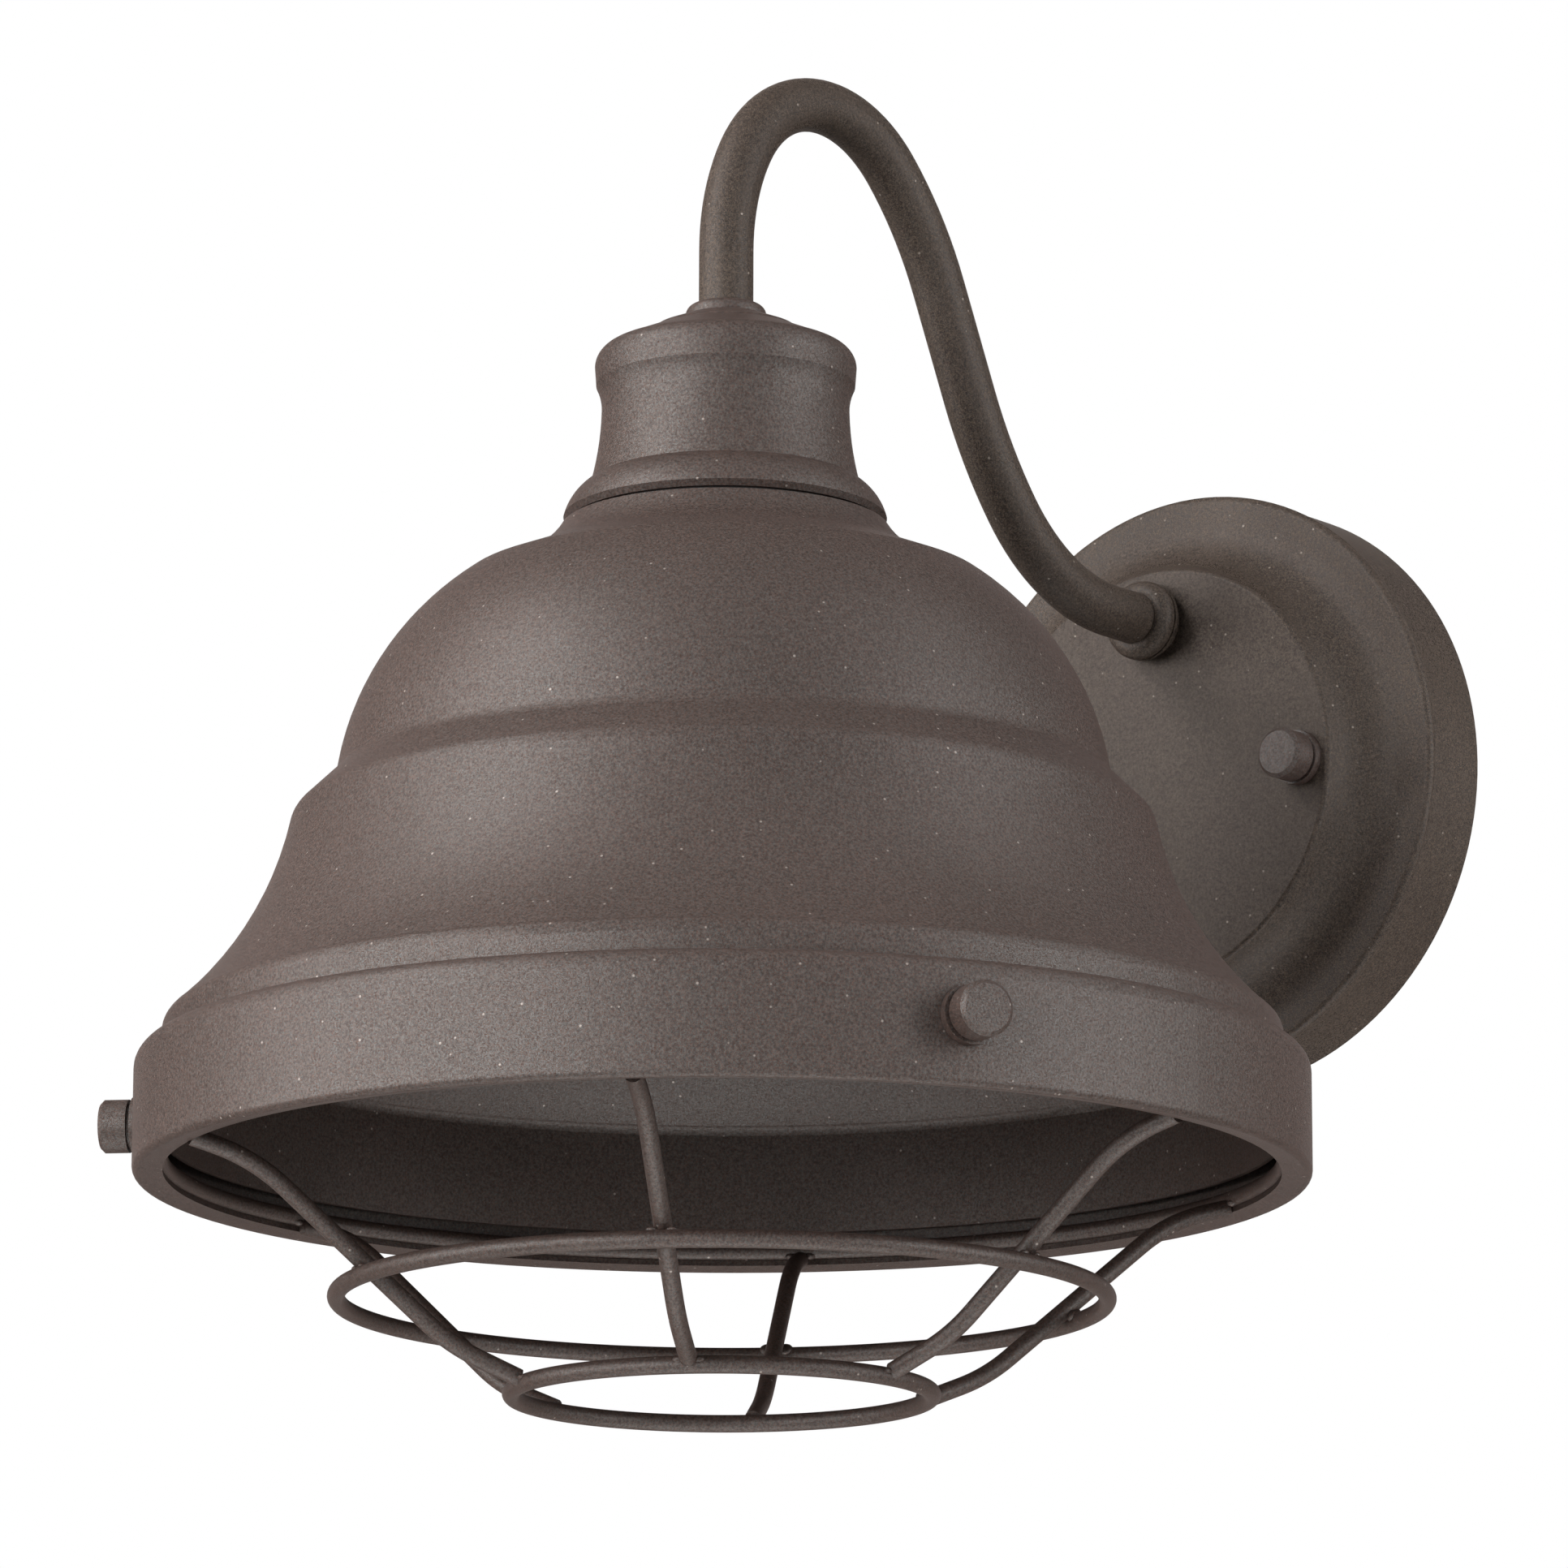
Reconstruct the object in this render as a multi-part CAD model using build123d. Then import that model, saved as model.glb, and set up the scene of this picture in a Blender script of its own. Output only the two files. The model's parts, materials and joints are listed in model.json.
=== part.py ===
from build123d import *
from math import cos, radians, sin, sqrt, tan
import os

# Outdoor wall sconce: a gooseneck arm on a round backplate carries a bell shade,
# and a rim band with a wire guard hangs on the shade's skirt by three thumb screws.
# Millimetres. The origin is the middle of the backplate's rear face.
# The wall is the plane y = 0, the lamp stands out towards -Y, and +Z is up.
# Heights of head pieces count from the rim band's lower face, depths from the wall.

# Clearances
fixed_gap = 0.05            # round pieces that are pressed, crimped or screwed together for good
thread_gap = 0.06           # a screw or stud in the thread that it turns in
pass_gap = 0.35             # pieces that slide past each other by hand
hole_gap = 0.3              # a screw in a plain hole
weld_sink = 0.4             # how far two welded wires sink into each other

# Where the head hangs
head_reach = 180.8          # wall to the shade's axis

# Rim band, a spun ring with its edges turned in
band_stand = 5.6            # outer face outside the shade's skirt
band_height = 25.5
band_sheet = 1.2
band_low_round = 1.4
band_top_round = 3.9
lip_inset = 0.7             # inner edge of the lower lip inside the skirt
lip_rise = 0.8

# Bell shade, spun sheet
shade_sheet = 1.2
skirt_radius = 115.4
skirt_low = 8.0
skirt_top = 29.6
skirt_edge = 1.8            # radius lost in the rounded edge above the skirt
flare_foot = 32.6
flare_bend = 76.2
flare_run = 23.8
flare_top = 73.8
shoulder_round = 5.0        # convex edge above the flare
shoulder_slope = 40.0       # degrees from level
valley_round = 5.0          # hollow between the shoulder and the dome
shoulder_run = 9.5
valley_height = 85.5
dome_bend = 60.3
dome_run = 25.3
dome_top = 125.8
collar_foot_radius = 43.5
collar_foot = 130.4
collar_radius = 34.2
collar_top = 138.4
shade_hole = 22.5

# Gasket and screws between the shade and the neck housing
shade_gasket_thick = 0.8
shade_gasket_radius = 32.0
shade_screw_count = 3
shade_screw_circle = 28.0
shade_screw_radius = 2.0
shade_screw_head = 3.6
shade_screw_head_height = 2.4
shade_screw_grip = 5.0      # thread in the housing

# Neck housing, heights from its lower face, drops from its upper end
housing_foot_radius = 33.0
bead_radius = 33.86
bead_low = 1.3
bead_crown_radius = 31.6
bead_crown = 5.8
neck_foot_radius = 28.2
neck_foot = 8.7
neck_middle_radius = 26.5
neck_middle_share = 0.56    # of the way up the hollow
neck_waist_radius = 26.0
waist_drop = 20.4
brow_low_radius = 27.2
brow_low_drop = 15.0
brow_radius = 27.5
brow_high_drop = 11.0
crown_edge_radius = 24.2
crown_drop = 6.8
boss_radius = 15.6
boss_drop = 3.1
boss_step = 0.6
housing_height = 44.8
housing_bore = 22.6
bore_drop = 11.8
housing_roof = 3.2          # thickness where the arm is bolted on

# Arm tube, a gooseneck of tangent bends, from the head to the wall
tube_radius = 5.75
tube_wall = 0.85
arm_edge_inset = 31.2       # arm below the backplate's upper edge
arm_upright_run = 14.8
arm_wall_run = 46.5         # level run with its fittings, from the wall
bend_rise_radius = 47.0
bend_rise_degrees = 30.0
bend_top_radius = 32.0
bend_top_degrees = 103.0
bend_fall_radius = 77.0
bend_fall_degrees = 21.0
fall_run = 25.0
sweep_high_radius = 97.0
sweep_high_degrees = 16.0
sweep_low_radius = 48.0

# Collars, nipples, washers and nuts at the two ends of the arm
end_collar_radius = 8.5
end_collar_height = 2.7
end_collar_round = 2.1
wall_collar_radius = 8.9
wall_collar_height = 4.8
wall_collar_round = 2.9
wall_collar_flange = 0.9    # foot of the collar below its groove
wall_collar_groove = 0.4
wall_washer_radius = 7.3
wall_washer_thick = 2.6
nipple_wall = 1.15
nipple_grip = 14.0          # length of nipple inside the tube
wall_nipple_tail = 9.0      # length of nipple behind the backplate
lock_washer_radius = 8.0
lock_washer_thick = 0.8
nipple_nut_flats = 14.0
nipple_nut_height = 4.0

# Lamp socket, depths below its top
socket_radius = 19.0
socket_length = 52.0
socket_hub_radius = 9.0
socket_hub_height = 4.0
socket_shoulder = 9.0
socket_roof = 12.0
socket_bore = 14.2
socket_rim = 2.0            # lower edge of the socket below the screw shell
shell_wall = 0.5
shell_length = 23.5
floor_thick = 2.5
contact_radius = 4.5
contact_thick = 1.0
rivet_radius = 0.9
rivet_head = 0.6
terminal_width = 4.4
terminal_length = 6.0
terminal_height = 1.5

# Bulb with a screw cap
bulb_radius = 30.0
bulb_length = 108.0
bulb_glass_wall = 0.9
bulb_neck_radius = 12.4
bulb_neck_length = 12.0     # straight glass neck inside the cap
bulb_shoulder = 28.0        # degrees above the widest ring where the globe starts
bulb_cap_radius = 13.2
bulb_cap_length = 24.0
bulb_cap_wall = 0.5
bulb_insulator_height = 1.7
bulb_insulator_radius = 8.5
bulb_tip_radius = 3.6
bulb_tip_height = 0.8
bulb_contact_gap = 0.2
stem_radius = 4.0
stem_length = 34.0
stem_flare = 1.2
filament_wire = 0.4
filament_half_span = 13.0
filament_drop = 11.0
filament_feet = 2.4

# Backplate, a stepped pan, depths from the wall
plate_radius = 66.4
plate_taper = 0.4           # the straight side stands inside the rolled edge
plate_sheet = 1.2
plate_bead = 1.5
plate_ring_depth = 19.0
plate_ring_width = 5.7      # rolled edge and flat ring, outside the cove
plate_cove_turn = 78.0
plate_edge_round = 1.2
plate_disc_depth = 30.6
plate_gasket_width = 4.0
plate_gasket_thick = 3.0

# Mounting strap on the wall box, its studs and its screws
strap_inset = 11.4          # ends inside the backplate's edge
strap_width = 18.0
strap_thick = 1.8
strap_round = 3.0
box_slot_spacing = 79.4     # middle of the slots
box_slot_length = 14.0
box_slot_width = 4.4
stud_inset = 26.9           # studs inside the backplate's edge
stud_drop = 1.1             # studs below the backplate's middle
stud_radius = 2.0
stud_reach = 4.0            # stud length inside the cap nut
stud_nut_flats = 7.0
stud_nut_height = 3.2
ground_screw_place = 24.0
ground_screw_radius = 2.0
ground_head_radius = 3.9
ground_head_height = 3.0

# Thumb screws and cap nuts, turned alike
knob_radius = 5.55
knob_length = 5.9
knob_edge = 0.8
knob_neck_radius = 4.55
thumb_neck_length = 0.8
cap_neck_length = 0.25
knob_washer_radius = 6.03
knob_washer_thick = 2.1
thumb_shank_radius = 2.0
thumb_count = 3
thumb_height = 13.8
thumb_turn = 2.6            # degrees that the screws stand off the symmetric place
band_nut_flats = 8.0
band_nut_height = 2.8

# Wire guard
wire_radius = 1.85
top_ring_seat = 0.8         # top ring outside the lip's edge
middle_ring_inset = 36.6    # inside the top ring
bottom_ring_inset = 72.5
guard_depth = 44.0          # bottom ring below the rim
rib_count = 6
rib_turn = 1.0              # degrees that the ribs stand off the symmetric place
rib_top_drop = 2.0          # rib's upper end below the top ring
rib_lip_gap = 0.45          # rib's upper end inside the lip's edge
rib_knee_run = 13.35
rib_top_slope = 15.0
rib_middle_slope = 40.0
rib_low_slope = 22.0
rib_bend = 40.0

# Supply leads in the arm and their twist-on connectors
lead_radius = 1.1
lead_side = 2.3             # each lead's distance from the middle of the tube
lead_back_depth = 8.0       # depth of the leads behind the nipple
lead_spread = 8.5
lead_turn_height = 20.0
lead_bend = 7.0
lead_tail_bend = 12.0
connector_top = 13.0
connector_length = 22.0
connector_mouth_radius = 5.2
connector_tip_radius = 3.4
connector_grip = 9.0
ground_lead_place = 14.0
ground_lead_height = 22.0
ground_lead_bend = 6.0


def bends_of(scale):
    """The arm's bends from the upright run to the level run, started at the origin, heading up."""
    rise = JernArc((0, 0), (0, 1), bend_rise_radius * scale, -bend_rise_degrees)
    top = JernArc(rise @ 1, rise % 1, bend_top_radius * scale, -bend_top_degrees)
    fall = JernArc(top @ 1, top % 1, bend_fall_radius * scale, -bend_fall_degrees)
    run = Line(fall @ 1, (fall @ 1) + (fall % 1) * fall_run * scale)
    high = JernArc(run @ 1, run % 1, sweep_high_radius * scale, sweep_high_degrees)
    low = JernArc(high @ 1, high % 1, sweep_low_radius * scale, (high % 1).get_angle(Vector(1, 0, 0)))
    return [rise, top, fall, run, high, low]


# Sizes that follow from the ones above
flare_foot_radius = skirt_radius - skirt_edge
flare_top_radius = flare_foot_radius - flare_run
valley_radius = flare_top_radius - shoulder_run
dome_top_radius = valley_radius - dome_run
band_radius = skirt_radius + band_stand
lip_radius = skirt_radius - lip_inset
top_ring_radius = lip_radius + top_ring_seat
middle_ring_radius = top_ring_radius - middle_ring_inset
bottom_ring_radius = top_ring_radius - bottom_ring_inset
plate_waist = plate_radius - plate_taper
plate_cove_radius = plate_radius - plate_ring_width
strap_length = 2 * (plate_radius - strap_inset)
stud_spacing = 2 * (plate_radius - stud_inset)
arm_wall_height = plate_radius - arm_edge_inset
nipple_radius = tube_radius - tube_wall - fixed_gap
nipple_bore = nipple_radius - nipple_wall
nipple_hole = nipple_radius + fixed_gap
neck_waist = housing_height - waist_drop
neck_middle = neck_foot + (neck_waist - neck_foot) * neck_middle_share
brow_low = housing_height - brow_low_drop
brow_high = housing_height - brow_high_drop
crown_edge = housing_height - crown_drop
boss_foot = housing_height - boss_drop
housing_bore_height = housing_height - bore_drop
housing_seat = collar_top + shade_gasket_thick
arm_seat = housing_seat + housing_height
end_washer_top = arm_seat - housing_roof
end_nut_top = end_washer_top - lock_washer_thick
socket_top = end_nut_top - nipple_nut_height
shell_radius = socket_bore - fixed_gap
shell_low = socket_top - socket_length + socket_rim
shell_high = shell_low + shell_length
floor_top = shell_high + floor_thick
terminal_top = floor_top + terminal_height
contact_low = shell_high - contact_thick
bulb_top = contact_low - bulb_contact_gap
bulb_cap_top = bulb_top - bulb_insulator_height - bulb_tip_height
bulb_cap_low = bulb_cap_top - bulb_cap_length
bulb_low = bulb_top - bulb_length
arm_bends = bends_of((head_reach - arm_wall_run) / (bends_of(1)[-1] @ 1).X)
arm_start_height = arm_wall_height - (arm_bends[-1] @ 1).Y
rim_drop = arm_seat + arm_upright_run - arm_start_height
collar_seat_depth = plate_disc_depth + wall_washer_thick
plate_inside = plate_disc_depth - plate_sheet
nut_inside = plate_inside - lock_washer_thick - nipple_nut_height
stud_tip_depth = plate_disc_depth + knob_washer_thick + stud_reach
band_inside = band_radius - band_sheet
thumb_tip = skirt_radius + pass_gap
top_ring_height = lip_rise + band_sheet + wire_radius
weld_reach = 2 * wire_radius - weld_sink


def joined(lines):
    """One wire from lines that meet end to end."""
    return Wire([edge for line in lines for edge in line.edges()])


def turned(outline):
    """Solid of revolution about Z from a closed outline of (radius, height)."""
    return Rot(90, 0, 0) * revolve(make_face(outline), Axis.Y)


def sheet_turned(line, wall):
    """Spun sheet whose outer face follows an open line, with its wall on the left of the line."""
    return turned(joined(line).offset_2d(wall, side=Side.LEFT, closed=True))


def ring(outer, inner, low, high):
    """Plain ring about Z."""
    return turned(Polyline((inner, low), (outer, low), (outer, high), (inner, high), close=True))


def hex_ring(flats, hole, low, high):
    """Hexagon nut about Z with a plain hole."""
    blank = extrude(RegularPolygon(flats / 2, 6, major_radius=False), high - low)
    return Pos(0, 0, low) * (blank - Cylinder(hole, 3 * (high - low)))


def on_head(solid):
    """Put a piece drawn about Z, with heights from the rim, on the shade's axis."""
    return Pos(0, -head_reach, -rim_drop) * solid


def on_wall(solid, x=0.0, z=0.0):
    """Put a piece drawn about Z, with heights as depths, so that it stands out of the wall."""
    return Pos(x, 0, z) * Rot(90, 0, 0) * solid


def outward(angle, height, solid):
    """Put a piece drawn about Z so that it points out of the rim band at this angle and height."""
    way = Vector(sin(radians(angle)), -cos(radians(angle)), 0)
    return on_head(Pos(0, 0, height) * Plane((0, 0, 0), x_dir=(0, 0, 1), z_dir=way).location * solid)


def around(count, radius, start=0.0):
    """Places evenly spaced on a circle about Z."""
    return [Rot(0, 0, start + 360 / count * k) * Pos(radius, 0, 0) for k in range(count)]


def rib_angle(k):
    """Angle of a rib from the front, towards +X."""
    return rib_turn + 360 / rib_count * (k + 0.5)


def thumb_angle(k):
    """Angle of a thumb screw from the front, towards +X."""
    return thumb_turn + 360 / thumb_count * (k + 0.5)


# Backplate and what it is mounted with


def backplate():
    bead_middle = (plate_radius - plate_bead, plate_ring_depth - plate_bead)
    crease = bead_middle[1] - sqrt(plate_bead**2 - (plate_waist - bead_middle[0]) ** 2)
    side = Line((plate_waist, 0), (plate_waist, crease))
    bead = ThreePointArc(side @ 1, (plate_radius, bead_middle[1]), (bead_middle[0], plate_ring_depth))
    flat = Line(bead @ 1, (plate_cove_radius, plate_ring_depth))
    sweep_up = (plate_disc_depth - plate_ring_depth) / (1 - cos(radians(plate_cove_turn)))
    cove = JernArc(flat @ 1, (-1, 0), sweep_up - plate_edge_round, -plate_cove_turn)
    edge = JernArc(cove @ 1, cove % 1, plate_edge_round, plate_cove_turn)
    disc = Line(edge @ 1, (0, plate_disc_depth))
    pan = sheet_turned([side, bead, flat, cove, edge, disc], plate_sheet)
    stud_cut = Cylinder(stud_radius + hole_gap, 3 * plate_disc_depth)
    for side_x in (-stud_spacing / 2, stud_spacing / 2):
        pan = pan - Pos(side_x, -stud_drop, 0) * stud_cut
    pan = pan - Pos(0, arm_wall_height, 0) * Cylinder(nipple_hole, 3 * plate_disc_depth)
    return on_wall(pan)


def backplate_gasket():
    outer = plate_waist - plate_sheet - hole_gap
    return on_wall(ring(outer, outer - plate_gasket_width, 0, plate_gasket_thick))


def mounting_strap():
    across = RectangleRounded(strap_length, strap_width, strap_round)
    cross = across + RectangleRounded(strap_width, strap_length, strap_round)
    slot = Rot(0, 0, 90) * SlotOverall(box_slot_length, box_slot_width)
    for z in (-box_slot_spacing / 2, box_slot_spacing / 2):
        cross = cross - Pos(0, z) * slot
    for x in (-stud_spacing / 2, stud_spacing / 2):
        cross = cross - Pos(x, -stud_drop) * Circle(stud_radius + thread_gap)
    cross = cross - Pos(ground_screw_place, 0) * Circle(ground_screw_radius + thread_gap)
    return on_wall(extrude(cross, strap_thick))


def mounting_studs():
    stud = Pos(0, 0, stud_tip_depth / 2) * Cylinder(stud_radius, stud_tip_depth)
    stud = chamfer(stud.edges().group_by(Axis.Z)[-1], stud_radius / 4)
    return [on_wall(stud, x, -stud_drop) for x in (-stud_spacing / 2, stud_spacing / 2)]


def stud_lock_nuts():
    nut = hex_ring(stud_nut_flats, stud_radius + thread_gap, strap_thick, strap_thick + stud_nut_height)
    return [on_wall(nut, x, -stud_drop) for x in (-stud_spacing / 2, stud_spacing / 2)]


def ground_screw():
    head_top = strap_thick + ground_head_height
    head = RegularPolygon(ground_head_radius, 6)
    screw = Pos(0, 0, strap_thick) * extrude(head, ground_head_height)
    screw = screw + Pos(0, 0, strap_thick / 2) * Cylinder(ground_screw_radius, strap_thick)
    slot = Pos(0, 0, head_top) * Box(3 * ground_head_radius, ground_head_radius / 4, ground_head_height)
    return on_wall(screw - slot, ground_screw_place)


def knob_blank(bottom, neck_length):
    """Plain round knob with a narrow neck, its neck on the washer that lies at this height."""
    neck_low = bottom + knob_washer_thick
    low = neck_low + neck_length
    high = low + knob_length
    edge = knob_radius - knob_edge
    outline = [(0, neck_low), (knob_neck_radius, neck_low), (knob_neck_radius, low), (knob_radius, low)]
    outline += [(knob_radius, high - knob_edge), (edge, high), (0, high)]
    return turned(Polyline(*outline, close=True))


def knob_washer(bottom):
    return ring(knob_washer_radius, thumb_shank_radius + hole_gap, bottom, bottom + knob_washer_thick)


def cap_nut(x):
    blind = stud_tip_depth + stud_radius / 4
    hole = Pos(0, 0, blind / 2) * Cylinder(stud_radius + thread_gap, blind)
    return on_wall(knob_blank(plate_disc_depth, cap_neck_length) - hole, x, -stud_drop)


def cap_nut_washer(x):
    return on_wall(knob_washer(plate_disc_depth), x, -stud_drop)


# Arm and its end fittings


def arm_path(head_end, wall_end, extra=()):
    """Centre line of the arm in the plane x = 0, from a height at the head to a depth at the wall."""
    place = Plane.YZ.location * Pos(-head_reach, arm_start_height)
    upright = Plane.YZ.location * Line((-head_reach, head_end), (-head_reach, arm_start_height))
    level_start = ((arm_bends[-1] @ 1).X - head_reach, arm_wall_height)
    level = Plane.YZ.location * Line(level_start, (-wall_end, arm_wall_height))
    return joined([upright] + [place * bend for bend in arm_bends] + [level] + list(extra))


def along(path, radius):
    """Round bar along a path."""
    return sweep(Plane(path @ 0, z_dir=path % 0) * Circle(radius), path)


def arm_tube():
    path = arm_path(arm_seat - rim_drop, collar_seat_depth)
    return along(path, tube_radius) - along(path, tube_radius - tube_wall)


def rounded_collar(outer, height, edge_round, low):
    """Ring about Z with its upper outer edge rounded."""
    inner = tube_radius + fixed_gap
    high = low + height
    foot = Polyline((inner, high), (inner, low), (outer, low), (outer, high - edge_round))
    edge = TangentArc(foot @ 1, (outer - edge_round, high), tangent=(0, 1))
    return turned(joined([foot, edge, Line(edge @ 1, foot @ 0)]))


def arm_end_collar():
    return on_head(rounded_collar(end_collar_radius, end_collar_height, end_collar_round, arm_seat))


def arm_end_nipple():
    return on_head(ring(nipple_radius, nipple_bore, socket_top - socket_roof, arm_seat + nipple_grip))


def arm_end_lock_washer():
    return on_head(ring(lock_washer_radius, nipple_hole, end_nut_top, end_washer_top))


def arm_end_nut():
    return on_head(hex_ring(nipple_nut_flats, nipple_hole, socket_top, end_nut_top))


def arm_wall_washer():
    blank = ring(wall_washer_radius, nipple_hole, plate_disc_depth, collar_seat_depth)
    return on_wall(blank, 0, arm_wall_height)


def arm_wall_collar():
    collar = rounded_collar(wall_collar_radius, wall_collar_height, wall_collar_round, collar_seat_depth)
    low = collar_seat_depth + wall_collar_flange
    floor = wall_collar_radius - wall_collar_groove
    groove = ring(2 * wall_collar_radius, floor, low, low + wall_collar_groove)
    return on_wall(collar - groove, 0, arm_wall_height)


def arm_wall_nipple():
    tail = plate_inside - wall_nipple_tail
    nipple = ring(nipple_radius, nipple_bore, tail, collar_seat_depth + nipple_grip)
    return on_wall(nipple, 0, arm_wall_height)


def arm_wall_lock_washer():
    low = plate_inside - lock_washer_thick
    return on_wall(ring(lock_washer_radius, nipple_hole, low, plate_inside), 0, arm_wall_height)


def arm_wall_nut():
    nut = hex_ring(nipple_nut_flats, nipple_hole, nut_inside, nut_inside + nipple_nut_height)
    return on_wall(nut, 0, arm_wall_height)


# Shade and neck housing


def shade():
    skirt = Line((skirt_radius, skirt_low), (skirt_radius, skirt_top))
    edge = TangentArc(skirt @ 1, (flare_foot_radius, flare_foot), tangent=(0, 1))
    flare = RadiusArc(edge @ 1, (flare_top_radius, flare_top), flare_bend)
    dome = RadiusArc((valley_radius, valley_height), (dome_top_radius, dome_top), -dome_bend)
    slope = Vector(-cos(radians(shoulder_slope)), sin(radians(shoulder_slope)))
    crown = JernArc(flare @ 1, flare % 1, shoulder_round, (flare % 1).get_angle(slope))
    inward = Vector(slope.Y, -slope.X)
    valley_way = Vector((dome % 0).Y, -(dome % 0).X)
    hollow_end = (dome @ 0) + (valley_way - inward) * valley_round
    hollow = Line(crown @ 1, hollow_end)
    valley = TangentArc(dome @ 0, hollow_end, tangent=-(dome % 0))
    foot = Line(dome @ 1, (collar_foot_radius, collar_foot))
    neck = TangentArc(foot @ 1, (collar_radius, collar_top), tangent=foot % 1)
    top = Line(neck @ 1, (shade_hole, collar_top))
    bell = sheet_turned([skirt, edge, flare, crown, hollow, valley, dome, foot, neck, top], shade_sheet)
    hole = Pos(0, 0, collar_top) * Cylinder(shade_screw_radius + hole_gap, 4 * shade_sheet)
    for place in around(shade_screw_count, shade_screw_circle):
        bell = bell - place * hole
    return on_head(bell)


def shade_gasket():
    pad = ring(shade_gasket_radius, shade_hole, collar_top, housing_seat)
    hole = Pos(0, 0, housing_seat) * Cylinder(shade_screw_radius + hole_gap, 4 * shade_gasket_thick)
    for place in around(shade_screw_count, shade_screw_circle):
        pad = pad - place * hole
    return on_head(pad)


def shade_screws():
    seat = collar_top - shade_sheet
    tip = housing_seat + shade_screw_grip
    low = seat - shade_screw_head_height
    head = Pos(0, 0, (low + seat) / 2) * Cylinder(shade_screw_head, shade_screw_head_height)
    head = fillet(head.edges().group_by(Axis.Z)[0], shade_screw_head_height / 3)
    screw = head + Pos(0, 0, (seat + tip) / 2) * Cylinder(shade_screw_radius, tip - seat)
    return [on_head(place * screw) for place in around(shade_screw_count, shade_screw_circle)]


def neck_housing():
    foot = Line((housing_foot_radius, 0), (bead_radius, bead_low))
    bead = ThreePointArc(foot @ 1, (bead_crown_radius, bead_crown), (neck_foot_radius, neck_foot))
    neck = ThreePointArc(bead @ 1, (neck_middle_radius, neck_middle), (neck_waist_radius, neck_waist))
    brow = TangentArc(neck @ 1, (brow_low_radius, brow_low), tangent=neck % 1)
    rim = Line(brow @ 1, (brow_radius, brow_high))
    crown = TangentArc(rim @ 1, (crown_edge_radius, crown_edge), tangent=(0, 1))
    seat_radius = end_collar_radius + pass_gap
    roof_low = housing_height - housing_roof
    inside = [crown @ 1, (boss_radius, boss_foot), (boss_radius - boss_step, boss_foot + boss_step)]
    inside += [(seat_radius, housing_height), (nipple_hole, housing_height), (nipple_hole, roof_low)]
    inside += [(lock_washer_radius + pass_gap, roof_low), (housing_bore, housing_bore_height)]
    inside += [(housing_bore, 0)]
    section = Polyline(*inside, foot @ 0)
    cup = turned(joined([foot, bead, neck, brow, rim, crown, section]))
    thread = Cylinder(shade_screw_radius + thread_gap, 2 * (shade_screw_grip + shade_screw_radius / 2))
    for place in around(shade_screw_count, shade_screw_circle):
        cup = cup - place * thread
    return on_head(Pos(0, 0, housing_seat) * cup)


# Lamp socket, leads and bulb


def socket_body():
    roof = socket_top - socket_roof
    low = socket_top - socket_length
    hub = socket_top - socket_hub_height
    outline = [(nipple_hole, socket_top), (socket_hub_radius, socket_top), (socket_hub_radius, hub)]
    outline += [(socket_radius, socket_top - socket_shoulder), (socket_radius, low), (socket_bore, low)]
    outline += [(socket_bore, roof), (nipple_hole, roof)]
    return on_head(turned(Polyline(*outline, close=True)))


def screw_shell():
    return on_head(ring(shell_radius, shell_radius - shell_wall, shell_low, shell_high))


def socket_floor():
    return on_head(ring(shell_radius, rivet_radius + fixed_gap, shell_high, floor_top))


def centre_contact():
    rivet_top = floor_top + rivet_head
    outline = [(0, contact_low), (contact_radius, contact_low), (contact_radius, shell_high)]
    outline += [(rivet_radius, shell_high), (rivet_radius, rivet_top), (0, rivet_top)]
    return on_head(turned(Polyline(*outline, close=True)))


def socket_terminals():
    block = Box(terminal_width, terminal_length, terminal_height)
    place = lead_side + (terminal_width / 2 - lead_radius)
    height = floor_top + terminal_height / 2
    return [on_head(Pos(side * place, 0, height) * block) for side in (-1, 1)]


def lead(side):
    """One supply lead from its socket terminal through the arm to its connector."""
    x = side * lead_side
    exit_depth = plate_inside - wall_nipple_tail
    spread = side * (lead_spread - lead_side)
    corner = (0, -lead_back_depth, arm_wall_height)
    tail = (spread, -lead_back_depth, lead_turn_height)
    stop = (spread, -lead_back_depth, connector_top - connector_grip)
    start = (0, -exit_depth, arm_wall_height)
    back = FilletPolyline(start, corner, tail, stop, radius=[lead_bend, lead_tail_bend])
    path = arm_path(terminal_top - rim_drop, exit_depth, [back])
    return Pos(x, 0, 0) * along(path, lead_radius)


def wire_connectors():
    low = connector_top - connector_length
    outline = [(0, low), (connector_tip_radius, low), (connector_mouth_radius, connector_top)]
    outline += [(0, connector_top)]
    cone = turned(Polyline(*outline, close=True))
    grip = connector_grip
    hole = Pos(0, 0, connector_top - grip / 2) * Cylinder(lead_radius + fixed_gap, grip)
    return [Pos(side * lead_spread, -lead_back_depth, 0) * (cone - hole) for side in (-1, 1)]


def ground_lead():
    """Bonding lead from the inside of the backplate to the green screw on the strap."""
    head_top = strap_thick + ground_head_height
    middle = (plate_inside + head_top) / 2
    start = (ground_lead_place, -plate_inside, ground_lead_height)
    turn_in = (ground_lead_place, -middle, ground_lead_height)
    turn_out = (ground_screw_place, -middle, 0)
    stop = (ground_screw_place, -head_top, 0)
    path = joined([FilletPolyline(start, turn_in, turn_out, stop, radius=ground_lead_bend)])
    return along(path, lead_radius)


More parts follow.
